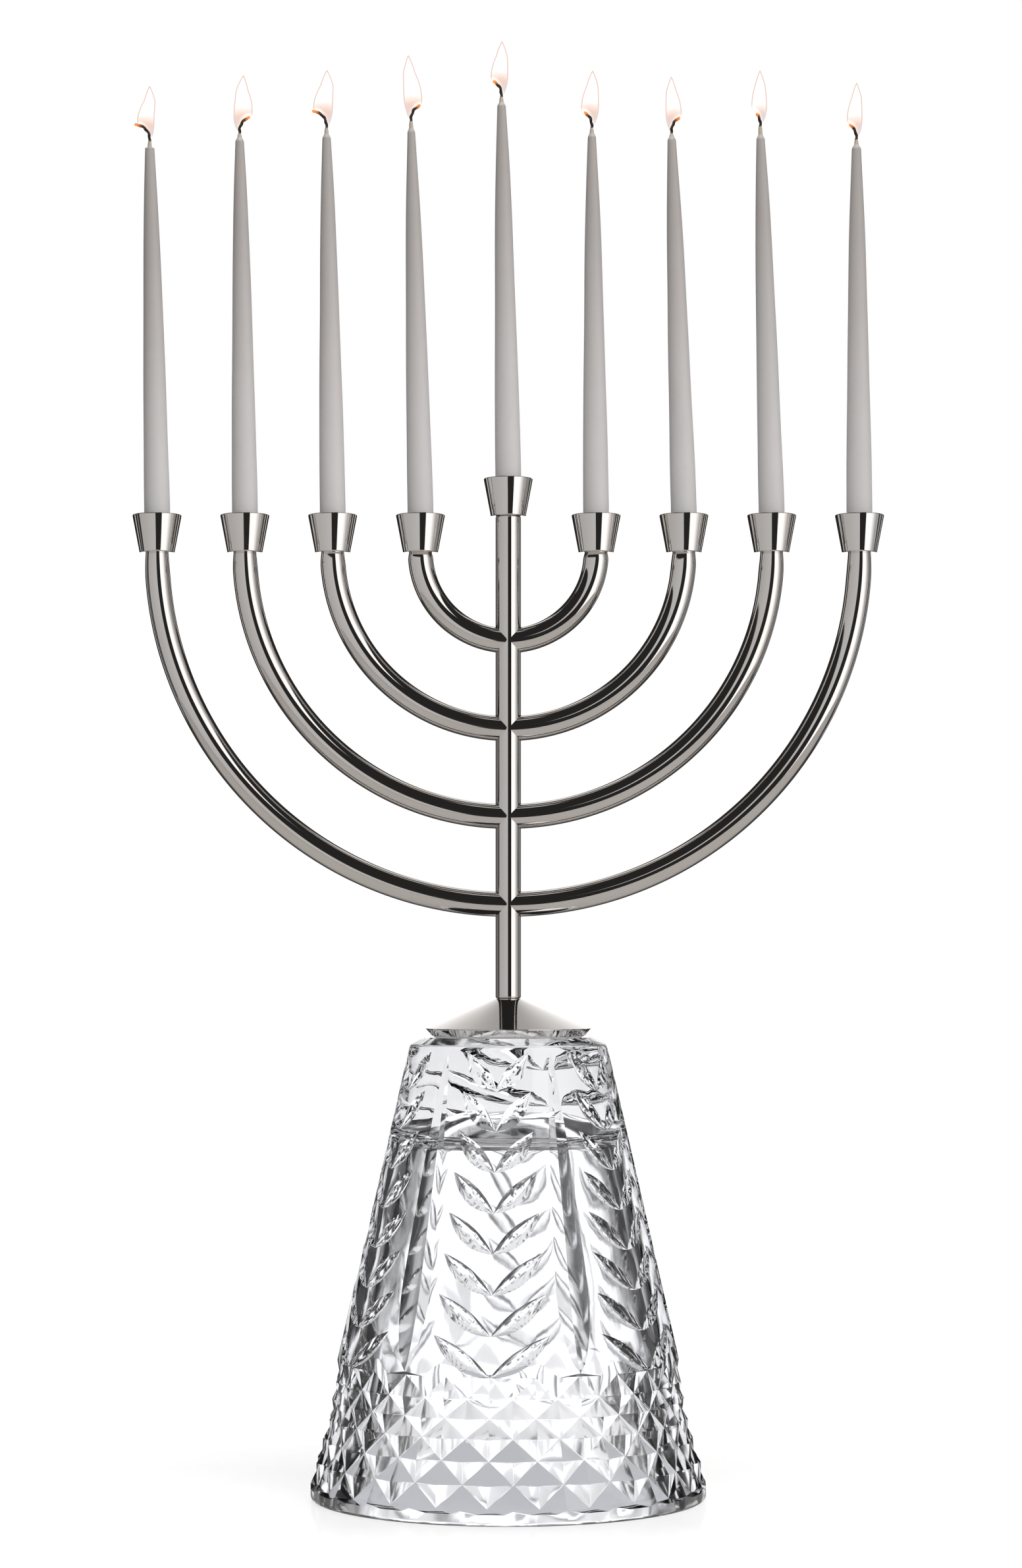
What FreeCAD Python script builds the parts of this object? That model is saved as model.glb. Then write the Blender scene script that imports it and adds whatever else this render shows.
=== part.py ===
import FreeCAD, Part
import math
import os

os.makedirs("parts", exist_ok=True)

# A nine-branched candle stand with its candles. A hollow cut-crystal base carries a polished
# cap plate, a stem and four pairs of bent arms with a candle cup on each end.
# Millimetres, +Z up. The origin is the middle of the base's bottom, and the arms spread along X.

# Crystal base: outlines as (radius, height)
foot_radius = 70.5
foot_outline = [(72.0, 2.2), (72.0, 5.0), (70.9, 12.0), (68.3, 16.0), (66.0, 29.5), (63.1, 45.0)]
bell_bottom = (62.5, 48.6)
bell_shoulder = (35.8, 163.5)
bell_top = (30.0, 167.7)
hollow_mouth_radius = 62.0
hollow_roof = (33.0, 131.0)
hollow_roof_round = 5.0

# Bond between crystal and metal
bond_radius = 27.0
bond_thickness = 0.3

# Cap plate, a shallow cone with an undercut rim
plate_rim_radius = 30.3
plate_foot_radius = 28.0
plate_undercut = 2.6
plate_rim_top = 170.8
plate_top = 181.6

# Stem and arms
stem_radius = 4.65
stem_top = 357.2
arm_rod_radius = 4.6
arm_centre_height = 344.0
branch_spacing = 32.0
pairs = 4
rod_edge_round = 0.45
stem_foot_round = 0.8

# M5 screw that holds the stem down on the plate
stem_screw_radius = 2.5
stem_screw_reach = 13.0
stem_screw_head_radius = 4.25
stem_screw_head_height = 4.5
stem_screw_socket_radius = 2.3
stem_screw_socket_depth = 2.5
screw_pocket_radius = 5.4
screw_pocket_roof = 174.0
washer_radius = 5.0
washer_thickness = 1.0

# Candle cups
cup_height = 13.8
cup_top_radius = 9.05
cup_bottom_radius = 6.4
cup_dish_radius = 7.9
cup_dish_depth = 1.2
cup_bore_radius = 5.0
cup_bore_depth = 11.0
cup_edge_round = 0.35

# M4 countersunk screw that holds each cup on its rod
cup_screw_radius = 2.0
cup_screw_head_radius = 3.6
cup_screw_reach = 7.0
tapped_hole_depth = 8.5
drill_point = 0.8
thread_clearance = 0.04
countersink_clearance = 0.05

# Taper candles: (height above the cup's mouth, radius), from just above the cup
taper_outline = [(10.0, 4.7), (44.0, 4.15), (92.0, 3.2), (116.0, 2.5), (130.0, 1.85)]
butt_radius = 4.7
lean_start = 2.0
shoulder_length = 1.7
flat_shoulder_length = 0.15
neck_radius = 0.8
wick_radius = 0.5
wick_straight = 1.5
wick_bend_radius = 5.2

# Each candle: place along the row in branch spacings, height of its wax above the cup's mouth,
# length of the thin neck at its tip, lean towards -X in degrees, and the wick's bend in degrees,
# positive towards +X
candles = {
    "left_4": (-4, 135.5, 1.6, 1.17, -95),
    "left_3": (-3, 138.5, 0.7, 0.82, 75),
    "left_2": (-2, 140.4, 1.4, 0.94, -90),
    "left_1": (-1, 142.9, 1.8, 1.40, 72),
    "centre": (0, 138.6, 1.2, 1.05, -67),
    "right_1": (1, 140.6, 1.3, 0.64, -64),
    "right_2": (2, 138.6, 0.4, 1.87, 66),
    "right_3": (3, 141.2, 2.6, 1.70, -45),
    "right_4": (4, 136.3, 1.2, 0.47, -60),
}
flat_topped = ["left_4"]

up = FreeCAD.Vector(0, 0, 1)
origin = FreeCAD.Vector(0, 0, 0)
tiny = 0.001


def turned(outline):
    """A solid turned about Z from a closed outline of (radius, height) points."""
    points = [FreeCAD.Vector(radius, 0, height) for radius, height in outline]
    points.append(points[0])
    face = Part.Face(Part.makePolygon(points))
    return face.revolve(origin, up, 360)


def circles_at(shape, height, radius):
    """The circular edges of a shape that lie at one height with one radius."""
    found = []
    for edge in shape.Edges:
        curve = edge.Curve
        if not isinstance(curve, Part.Circle):
            continue
        if abs(curve.Radius - radius) < tiny and abs(curve.Center.z - height) < tiny:
            found.append(edge)
    return found


def upright(radius, low, high, x=0.0):
    """A cylinder along Z between two heights."""
    return Part.makeCylinder(radius, high - low, FreeCAD.Vector(x, 0, low), up)


def drilled_hole(mouth, x=0.0):
    """A tapped hole down from a rod's top, with its drill point."""
    hole = upright(cup_screw_radius, mouth - tapped_hole_depth, mouth, x)
    tip_base = FreeCAD.Vector(x, 0, mouth - tapped_hole_depth)
    point = Part.makeCone(cup_screw_radius, 0, drill_point, tip_base, FreeCAD.Vector(0, 0, -1))
    return hole.fuse(point).removeSplitter()


def save(name, shape):
    """Writes one sub-part."""
    shape.exportStep("parts/" + name + ".step")
    print(name, "solids", len(shape.Solids), "valid", shape.isValid(), "volume", round(shape.Volume, 1))


def crystal_base():
    """The bell of cut crystal: solid near the top, hollow below."""
    outside = [(0.0, 0.0), (foot_radius, 0.0)] + foot_outline
    outside += [bell_bottom, bell_shoulder, bell_top, (0.0, bell_top[1])]
    bell = turned(outside)
    roof_radius, roof_height = hollow_roof
    hollow = turned([(0.0, 0.0), (hollow_mouth_radius, 0.0), (roof_radius, roof_height), (0.0, roof_height)])
    hollow = hollow.makeFillet(hollow_roof_round, circles_at(hollow, roof_height, roof_radius))
    return bell.cut(hollow)


def bond_disc():
    """The clear bond between the crystal and the cap plate."""
    return upright(bond_radius, bell_top[1], bell_top[1] + bond_thickness)


def cap_plate():
    """The shallow cone on the crystal, with a pocket below for the stem's screw."""
    bottom = bell_top[1] + bond_thickness
    cone = turned([
        (0.0, bottom),
        (plate_foot_radius, bottom),
        (plate_rim_radius, bottom + plate_undercut),
        (plate_rim_radius, plate_rim_top),
        (stem_radius, plate_top),
        (0.0, plate_top),
    ])
    pocket = upright(screw_pocket_radius, bottom, screw_pocket_roof)
    hole = upright(stem_screw_radius + thread_clearance, screw_pocket_roof, plate_top)
    return cone.cut(pocket).cut(hole)


def stem_washer():
    """The washer under the stem screw's head."""
    low = screw_pocket_roof - washer_thickness
    ring = upright(washer_radius, low, screw_pocket_roof)
    return ring.cut(upright(stem_screw_radius + 2 * thread_clearance, low, screw_pocket_roof))


def stem_screw():
    """The socket-head screw from the plate's underside up into the stem."""
    seat = screw_pocket_roof - washer_thickness
    low = seat - stem_screw_head_height
    head = upright(stem_screw_head_radius, low, seat)
    shank = upright(stem_screw_radius, seat, plate_top + stem_screw_reach)
    socket = Part.makePolygon([
        FreeCAD.Vector(
            stem_screw_socket_radius * math.cos(math.radians(60 * corner)),
            stem_screw_socket_radius * math.sin(math.radians(60 * corner)),
            low,
        )
        for corner in range(7)
    ])
    hexagon = Part.Face(socket).extrude(FreeCAD.Vector(0, 0, stem_screw_socket_depth))
    return head.fuse(shank).removeSplitter().cut(hexagon)


def stem():
    """The upright rod, tapped at both ends."""
    rod = upright(stem_radius, plate_top, stem_top)
    rod = rod.makeFillet(stem_foot_round, circles_at(rod, plate_top, stem_radius))
    rod = rod.makeFillet(rod_edge_round, circles_at(rod, stem_top, stem_radius))
    foot_hole = upright(
        stem_screw_radius + thread_clearance, plate_top, plate_top + stem_screw_reach + drill_point
    )
    return rod.cut(foot_hole).cut(drilled_hole(stem_top))


def arm(side, number):
    """Half of one semicircle, coped and brazed to the stem. side is -1 on the left."""
    sweep_radius = number * branch_spacing
    centre = FreeCAD.Vector(0, 0, arm_centre_height)
    start = FreeCAD.Vector(0, 0, arm_centre_height - sweep_radius)
    circle = Part.Circle(start, FreeCAD.Vector(1, 0, 0), arm_rod_radius)
    section = Part.Face(Part.Wire(circle.toShape()))
    bend = section.revolve(centre, FreeCAD.Vector(0, -side, 0), 90)
    bend = bend.makeFillet(rod_edge_round, circles_at(bend, arm_centre_height, arm_rod_radius))
    coped = bend.cut(upright(stem_radius, plate_top, stem_top))
    return coped.cut(drilled_hole(arm_centre_height, side * sweep_radius))


def cup(x, foot):
    """One candle cup on a rod's top at height foot."""
    top = foot + cup_height
    blank = turned([
        (0.0, foot),
        (cup_bottom_radius, foot),
        (cup_top_radius, top),
        (0.0, top),
    ])
    edges = circles_at(blank, foot, cup_bottom_radius) + circles_at(blank, top, cup_top_radius)
    blank = blank.makeFillet(cup_edge_round, edges)
    floor = top - cup_bore_depth
    bore = turned([
        (0.0, floor),
        (cup_bore_radius, floor),
        (cup_bore_radius, top - cup_dish_depth),
        (cup_dish_radius, top),
        (0.0, top),
    ])
    sink_radius = cup_screw_head_radius + countersink_clearance
    hole_radius = cup_screw_radius + countersink_clearance
    screw_hole = turned([
        (0.0, foot),
        (hole_radius, foot),
        (hole_radius, floor - (sink_radius - hole_radius)),
        (sink_radius, floor),
        (0.0, floor),
    ])
    shape = blank.cut(bore).cut(screw_hole)
    shape.translate(FreeCAD.Vector(x, 0, 0))
    return shape


def cup_screw(x, foot):
    """The countersunk screw whose head lies flush in the cup's floor."""
    floor = foot + cup_height - cup_bore_depth
    shank_radius = cup_screw_radius - thread_clearance
    shape = turned([
        (0.0, foot - cup_screw_reach),
        (shank_radius, foot - cup_screw_reach),
        (shank_radius, floor - (cup_screw_head_radius - shank_radius)),
        (cup_screw_head_radius, floor),
        (0.0, floor),
    ])
    shape.translate(FreeCAD.Vector(x, 0, 0))
    return shape


def taper_stations(wax_height, neck_length, shoulder):
    """(height above the mouth, radius) from the butt to the wick's neck."""
    below, last = taper_outline[-2:]
    slope = (last[1] - below[1]) / (last[0] - below[0])
    neck_height = wax_height - neck_length
    shoulder_height = neck_height - shoulder
    stations = [(-cup_bore_depth, butt_radius), (lean_start, butt_radius)] + taper_outline
    stations.append((shoulder_height, last[1] + slope * (shoulder_height - last[0])))
    stations.append((neck_height, neck_radius))
    stations.append((wax_height, neck_radius))
    return stations


def lean_shift(height, lean):
    """How far a candle's axis has moved towards -X at a height above the mouth."""
    return -math.tan(math.radians(lean)) * max(0.0, height - lean_start)


def leaning_stack(stations, lean, x, mouth):
    """A stack of cones through circles whose centres follow the leaning axis."""
    wires = []
    for height, radius in stations:
        centre = FreeCAD.Vector(x + lean_shift(height, lean), 0, mouth + height)
        wires.append(Part.Wire(Part.Circle(centre, up, radius).toShape()))
    return Part.makeLoft(wires, True, True)


def wick_curl(tip, bend):
    """The bare end of a wick: a short straight length, then a bend to one side."""
    bend_start = tip + FreeCAD.Vector(0, 0, wick_straight)
    side = 1 if bend > 0 else -1
    turn = math.radians(abs(bend))

    def on_bend(angle):
        sideways = side * wick_bend_radius * (1 - math.cos(angle))
        return bend_start + FreeCAD.Vector(sideways, 0, wick_bend_radius * math.sin(angle))

    line = Part.LineSegment(tip, bend_start).toShape()
    curl = Part.Arc(bend_start, on_bend(turn / 2), on_bend(turn)).toShape()
    section = Part.Wire(Part.Circle(tip, up, wick_radius).toShape())
    return Part.Wire([line, curl]).makePipeShell([section], True, False)


def candle_and_wick(name, x, mouth):
    """One taper candle, and its wick: full length inside, with a curled end."""
    place, wax_height, neck_length, lean, bend = candles[name]
    shoulder = flat_shoulder_length if name in flat_topped else shoulder_length
    wax = leaning_stack(taper_stations(wax_height, neck_length, shoulder), lean, x, mouth)
    core_heights = [-cup_bore_depth, lean_start, wax_height]
    core = leaning_stack([(height, wick_radius) for height in core_heights], lean, x, mouth)
    tip = FreeCAD.Vector(x + lean_shift(wax_height, lean), 0, mouth + wax_height)
    return wax.cut(core), core.fuse(wick_curl(tip, bend)).removeSplitter()


save("crystal_base", crystal_base())
save("bond_disc", bond_disc())
save("cap_plate", cap_plate())
save("stem_washer", stem_washer())
save("stem_screw", stem_screw())
save("stem", stem())
for number in range(1, pairs + 1):
    save("arm_left_" + str(number), arm(-1, number))
    save("arm_right_" + str(number), arm(1, number))

screws = []
for name in candles:
    place = candles[name][0]
    x = place * branch_spacing
    foot = stem_top if place == 0 else arm_centre_height
    save("cup_" + name, cup(x, foot))
    screws.append(cup_screw(x, foot))
    wax, wick = candle_and_wick(name, x, foot + cup_height)
    save("candle_" + name, wax)
    save("wick_" + name, wick)
save("cup_screws", Part.makeCompound(screws))
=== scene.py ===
import math
import random

import bpy
import bmesh
from mathutils import Matrix, Vector, geometry


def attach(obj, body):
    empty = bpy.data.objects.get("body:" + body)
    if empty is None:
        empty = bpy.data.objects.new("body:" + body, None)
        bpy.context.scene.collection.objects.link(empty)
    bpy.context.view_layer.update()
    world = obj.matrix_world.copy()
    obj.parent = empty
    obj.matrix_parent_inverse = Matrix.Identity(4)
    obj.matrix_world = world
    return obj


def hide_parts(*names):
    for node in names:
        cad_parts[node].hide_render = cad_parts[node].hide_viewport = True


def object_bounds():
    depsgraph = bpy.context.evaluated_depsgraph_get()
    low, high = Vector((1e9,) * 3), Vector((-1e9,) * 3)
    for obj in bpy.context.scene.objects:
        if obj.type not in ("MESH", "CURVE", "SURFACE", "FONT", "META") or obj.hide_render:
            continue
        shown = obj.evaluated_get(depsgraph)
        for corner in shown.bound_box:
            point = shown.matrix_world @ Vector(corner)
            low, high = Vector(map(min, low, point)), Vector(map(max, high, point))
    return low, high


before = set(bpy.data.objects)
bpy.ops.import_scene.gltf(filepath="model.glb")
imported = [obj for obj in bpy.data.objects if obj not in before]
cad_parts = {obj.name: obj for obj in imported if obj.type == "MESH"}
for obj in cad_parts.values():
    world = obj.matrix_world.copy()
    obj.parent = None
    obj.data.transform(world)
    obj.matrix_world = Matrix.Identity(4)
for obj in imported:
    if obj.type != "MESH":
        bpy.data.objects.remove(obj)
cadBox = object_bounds()
mm = 0.001
rowNames = ["left_4", "left_3", "left_2", "left_1", "centre", "right_1", "right_2", "right_3", "right_4"]


# node trees, written as expressions

class Wire:
    # one output of a node, with the sums and products that the materials use
    def __init__(self, kit, socket):
        self.kit = kit
        self.socket = socket

    def math(self, operation, *others):
        values = dict(enumerate((self,) + others))
        return self.kit.node("ShaderNodeMath", {"operation": operation}, values)

    def flipped(self, operation, other):
        return self.kit.node("ShaderNodeMath", {"operation": operation}, {0: other, 1: self})

    def __add__(self, other):
        return self.math("ADD", other)

    __radd__ = __add__

    def __mul__(self, other):
        return self.math("MULTIPLY", other)

    __rmul__ = __mul__

    def __sub__(self, other):
        return self.math("SUBTRACT", other)

    def __rsub__(self, other):
        return self.flipped("SUBTRACT", other)

    def __truediv__(self, other):
        return self.math("DIVIDE", other)

    def __rtruediv__(self, other):
        return self.flipped("DIVIDE", other)

    def __neg__(self):
        return self.math("MULTIPLY", -1.0)

    def smooth(self, low, high, before=0.0, after=1.0):
        # eases from one value to the other as the input goes from low to high
        settings = {"interpolation_type": "SMOOTHSTEP"}
        values = {0: self, 1: low, 2: high, 3: before, 4: after}
        return self.kit.node("ShaderNodeMapRange", settings, values)


class TreeKit:
    # builds nodes in one tree, for a material, the world or a shape
    def __init__(self, tree):
        self.tree = tree
        tree.nodes.clear()

    def node(self, kind, settings=None, values=None, out=0):
        made = self.tree.nodes.new(kind)
        for name, value in (settings or {}).items():
            if name == "stops":
                self.setStops(made.color_ramp, value)
            else:
                setattr(made, name, value)
        for key, value in (values or {}).items():
            socket = made.inputs[key]
            if isinstance(value, Wire):
                self.tree.links.new(value.socket, socket)
            else:
                socket.default_value = value
        return Wire(self, made.outputs[out]) if len(made.outputs) else made

    def setStops(self, ramp, stops):
        while len(ramp.elements) < len(stops):
            ramp.elements.new(0.5)
        for element, (place, colour) in zip(ramp.elements, stops):
            element.position = place
            element.color = colour

    def another(self, wire, out):
        # a second output of the node that a wire comes from
        return Wire(self, wire.socket.node.outputs[out])

    def noise(self, scale, detail=2.0):
        place = self.node("ShaderNodeTexCoord", out="Object")
        return self.node("ShaderNodeTexNoise", None, {"Vector": place, "Scale": scale, "Detail": detail})

    def bump(self, strength, distance, height):
        return self.node("ShaderNodeBump", None, {
            "Strength": strength, "Distance": distance, "Height": height,
        })

    def mixed(self, factor, first, second):
        # two shaders, the second by its share
        return self.node("ShaderNodeMixShader", None, {0: factor, 1: first, 2: second})

    def attribute(self, name):
        # a number that the piece's own mesh carries
        return self.node("ShaderNodeAttribute", {"attribute_name": name}, out="Fac")

    def blend(self, factor, first, second):
        settings = {"data_type": "RGBA"}
        return self.node("ShaderNodeMix", settings, {0: factor, 6: first, 7: second}, 2)


def newMaterial(name):
    material = bpy.data.materials.new(name)
    material.use_nodes = True
    return material, TreeKit(material.node_tree)


def finishMaterial(material, kit, surface):
    # surface is a shader, or the values of a plain one's sockets
    if isinstance(surface, dict):
        surface = kit.node("ShaderNodeBsdfPrincipled", None, surface)
    kit.node("ShaderNodeOutputMaterial", None, {"Surface": surface})
    return material


def colour(red, green, blue):
    return (red, green, blue, 1.0)


# materials

nickelLook = {
    "base": colour(0.785, 0.76, 0.74),
    "warm": colour(0.765, 0.73, 0.70),
    "roughness": 0.035,
    "smear": 0.03,
    "scratchScale": 900.0,
    "bump": 0.00001,
}


def nickelMaterial():
    look = nickelLook
    material, kit = newMaterial("brightNickel")
    cloud = kit.noise(28.0, 3.0)
    fine = kit.noise(look["scratchScale"], 2.0)
    smear = cloud.smooth(0.42, 0.72)
    return finishMaterial(material, kit, {
        "Base Color": kit.blend(smear, look["base"], look["warm"]),
        "Metallic": 1.0,
        "Roughness": look["roughness"] + smear * look["smear"] + fine * 0.01,
        "Normal": kit.bump(0.12, look["bump"], fine),
    })


steelLook = {"light": colour(0.62, 0.62, 0.61), "dark": colour(0.48, 0.48, 0.48), "roughness": 0.28}


def steelMaterial():
    look = steelLook
    material, kit = newMaterial("screwSteel")
    grain = kit.noise(700.0, 4.0)
    return finishMaterial(material, kit, {
        "Base Color": kit.blend(grain, look["dark"], look["light"]),
        "Metallic": 1.0,
        "Roughness": look["roughness"] + grain * 0.12,
    })


crystalLook = {
    "clear": colour(1.0, 1.0, 1.0),
    "shade": colour(0.975, 0.98, 0.995),
    "ior": 1.54,
    "roughness": 0.0,
    "haze": 0.004,
    "wave": 0.0009,                  # metres, the slow unevenness of pressed glass
    "innerWave": 0.8,                # how much more the moulded hollow waves
    "innerGrain": 0.09,              # roughness of the moulded hollow
    "innerLine": (0.0632, 0.223),    # metres, between hollow and cuts: reach at the table, fall per metre
    "innerTop": 0.140,
}


def crystalMaterial():
    look = crystalLook
    material, kit = newMaterial("cutCrystal")
    cloud = kit.noise(55.0, 2.0)
    haze = cloud.smooth(0.5, 0.8)
    place = kit.node("ShaderNodeTexCoord", out="Object")
    level = kit.node("ShaderNodeSeparateXYZ", None, {0: place}, "Z")
    flat = kit.node("ShaderNodeVectorMath", {"operation": "MULTIPLY"}, {0: place, 1: (1.0, 1.0, 0.0)})
    reach = kit.node("ShaderNodeVectorMath", {"operation": "LENGTH"}, {0: flat}, "Value")
    foot, fall = look["innerLine"]
    inside = (reach - (foot - level * fall)).smooth(-0.0003, 0.0003, 1.0, 0.0)
    inside = inside * level.smooth(look["innerTop"], look["innerTop"] + 0.0005, 1.0, 0.0)
    swell = kit.noise(34.0, 1.0) + kit.noise(95.0, 0.0) * 0.16
    swell = swell + inside * kit.noise(62.0, 0.5) * look["innerWave"]
    return finishMaterial(material, kit, {
        "Base Color": kit.blend(haze, look["clear"], look["shade"]),
        "Roughness": look["roughness"] + haze * look["haze"] + inside * look["innerGrain"],
        "IOR": look["ior"],
        "Transmission Weight": 1.0,
        "Normal": kit.bump(1.0, look["wave"], swell),
    })


bondLook = {"clear": colour(0.9, 0.9, 0.89), "cloudy": colour(0.8, 0.8, 0.78), "roughness": 0.2}


def bondMaterial():
    look = bondLook
    material, kit = newMaterial("curedBond")
    cloud = kit.noise(160.0, 3.0)
    return finishMaterial(material, kit, {
        "Base Color": kit.blend(cloud, look["clear"], look["cloudy"]),
        "Roughness": look["roughness"] + cloud * 0.1,
    })


waxLook = {
    "cool": colour(0.635, 0.62, 0.617),
    # painted warm glow of the flame and painted shade, laid on towards the top of the wax
    "warm": colour(0.375, 0.35, 0.33),
    "neck": colour(0.50, 0.43, 0.34),
    "roughness": 0.42,
    "scatter": 0.15,
    "glow": colour(1.0, 0.62, 0.42),
}


def waxMaterial():
    # the attribute running from 0 at the butt to 1 at the flame paints a warm glow of the flame and shade
    # on the wax, darker and warmer towards the top; "neck" is 1 on the thin tip
    look = waxLook
    material, kit = newMaterial("whiteWax")
    warmth = kit.attribute("warmth")
    neck = kit.attribute("neck")
    cloud = kit.noise(90.0, 3.0)
    fine = kit.noise(650.0, 3.0)
    # painted flame glow and shade by height, with a random cloudy tone
    tint = warmth.smooth(0.0, 1.0) * 0.85 + cloud * 0.10
    body = kit.blend(tint, look["cool"], look["warm"])
    return finishMaterial(material, kit, {
        "Base Color": kit.blend(neck, body, look["neck"]),
        "Roughness": look["roughness"] + cloud * 0.12,
        "Subsurface Weight": look["scatter"],
        "Subsurface Scale": 0.002,
        "IOR": 1.44,
        "Normal": kit.bump(0.25, 0.00012, cloud * 0.8 + fine * 0.2),
    })


wickLook = {
    "char": colour(0.012, 0.010, 0.009),
    "ash": colour(0.05, 0.035, 0.028),
    "cotton": colour(0.55, 0.48, 0.38),
    "ember": colour(1.0, 0.30, 0.055),
    "emberPower": 1.15,
}


def wickMaterial():
    # the attribute "burn" runs from 0 inside the wax to 1 at the glowing end
    look = wickLook
    material, kit = newMaterial("charredWick")
    burn = kit.attribute("burn")
    grain = kit.noise(2600.0, 3.0)
    crust = kit.blend(grain.smooth(0.35, 0.7), look["char"], look["ash"])
    ember = (burn + (grain - 0.5) * 0.30).smooth(0.66, 0.98)
    return finishMaterial(material, kit, {
        "Base Color": kit.blend(burn.smooth(0.02, 0.10), look["cotton"], crust),
        "Roughness": 0.85 + grain * 0.1,
        "Emission Color": kit.blend(ember, colour(0, 0, 0), look["ember"]),
        "Emission Strength": look["emberPower"],
        "Normal": kit.bump(0.6, 0.0001, grain),
    })


materials = {
    "nickel": nickelMaterial(),
    "steel": steelMaterial(),
    "crystal": crystalMaterial(),
    "bond": bondMaterial(),
    "wax": waxMaterial(),
    "wick": wickMaterial(),
}
print("materials made:", len(materials))


# mesh helpers

def newPiece(name, mesh, materialName, body, replaced):
    piece = bpy.data.objects.new(name, mesh)
    bpy.context.scene.collection.objects.link(piece)
    mesh.materials.clear()
    mesh.materials.append(materials[materialName])
    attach(piece, body)
    if replaced:
        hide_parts(*replaced)
    return piece


def cleanMesh(mesh, mergeDistance=1e-6, sharpDegrees=30.0):
    work = bmesh.new()
    work.from_mesh(mesh)
    bmesh.ops.remove_doubles(work, verts=work.verts, dist=mergeDistance)
    bmesh.ops.dissolve_degenerate(work, edges=work.edges, dist=mergeDistance)
    bmesh.ops.recalc_face_normals(work, faces=work.faces)
    work.to_mesh(mesh)
    work.free()
    mesh.shade_smooth()
    mesh.set_sharp_from_angle(angle=math.radians(sharpDegrees))
    mesh.update()
    return mesh


def guarded(outline, gap=0.0001):
    # adds a point just inside each end of a long side, so the shading of a rounding stays at the rounding
    result = []
    for place, here in enumerate(outline):
        start = Vector(here)
        end = Vector(outline[(place + 1) % len(outline)])
        result.append(tuple(start))
        if (end - start).length > 8 * gap:
            along = (end - start).normalized() * gap
            result.extend([tuple(start + along), tuple(end - along)])
    return result


def lathe(name, outline, steps, x=0.0, sharpDegrees=30.0):
    # turns a closed outline of (radius, height) points about a vertical line, all in metres
    verts = []
    faces = []
    outline = guarded(outline)
    count = len(outline)
    for step in range(steps):
        turn = 2 * math.pi * step / steps
        for radius, height in outline:
            verts.append((x + radius * math.cos(turn), radius * math.sin(turn), height))
    for step in range(steps):
        after = (step + 1) % steps
        for place in range(count):
            beyond = (place + 1) % count
            if outline[place][0] < 1e-7 and outline[beyond][0] < 1e-7:
                continue
            faces.append((
                step * count + place, after * count + place,
                after * count + beyond, step * count + beyond,
            ))
    mesh = bpy.data.meshes.new(name)
    mesh.from_pydata(verts, [], faces)
    return cleanMesh(mesh, 1e-7, sharpDegrees)


def rounded(corners, radii, steps=5):
    # an outline with its corners rounded: radii matches corners, and 0 keeps a corner
    count = len(corners)
    outline = []
    for place, (corner, radius) in enumerate(zip(corners, radii)):
        here = Vector(corner)
        if radius == 0:
            outline.append(tuple(here))
            continue
        back = (Vector(corners[place - 1]) - here).normalized()
        ahead = (Vector(corners[(place + 1) % count]) - here).normalized()
        half = back.angle(ahead) / 2
        reach = radius / math.tan(half)
        centre = here + (back + ahead).normalized() * radius / math.sin(half)
        start = here + back * reach - centre
        end = here + ahead * reach - centre
        sweep = start.angle(end)
        for step in range(steps + 1):
            share = step / steps
            spin = (start * math.sin((1 - share) * sweep) + end * math.sin(share * sweep)) / math.sin(sweep)
            outline.append(tuple(centre + spin))
    return outline


# crystal base: one sixth is cut, then set round the axis six times

crystalCut = {
    "sectors": 6,
    "turn": -6.0,                    # degrees, the front panel's middle from the front
    "bellFoot": (62.6, 48.6),        # radius and height in mm
    "bellShoulder": (36.3, 163.5),
    "gridTurn": 2.5,                 # degrees between the plain surface's points
    "gridRise": 4.6,
    "leafPairs": 8,
    "leafLow": 50.2,                 # height of the lowest pair's point
    "leafStep": 14.1,
    "leafRise": 14.3,
    "leafReach": (20.3, 17.2),       # degrees sideways, lowest pair and highest pair
    "leafHalfWidth": 3.1,
    "leafDepth": 2.25,
    "leafSag": 0.9,
    "leafSteps": 16,
    "leafStrips": 4,                 # across half a leaf, which is hollowed like a spoon
    "mitreLow": 51.4,
    "mitreHigh": 162.6,
    "mitreHalfWidth": 6.3,
    "mitreDepth": 2.5,
    "mitreWidest": 0.26,             # share of its length from the low end
    "mitreSteps": 36,
    "columns": 8,                    # half diamonds across one sector
    "diamondRows": [                 # height, peak radius and groove depth in mm
        (50.2, 62.23, 1.3), (42.6, 63.1, 2.1), (36.0, 64.2, 2.3), (29.2, 65.6, 2.4),
        (21.6, 67.5, 2.4), (13.8, 70.3, 2.4), (5.6, 72.0, 2.0),
    ],
    "edgeBand": (5.0, 47.0),         # heights between which the facets' edges are softened
    "edgeInside": 60.5,              # and how far out they stand at least
    "edgeAngle": 12.0,
    "edgeWidth": 0.22,
    "hollowMouth": 62.0,
    "hollowRoof": (33.0, 130.0),
    "hollowTop": 137.0,
    "hollowRound": 7.0,
}


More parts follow.
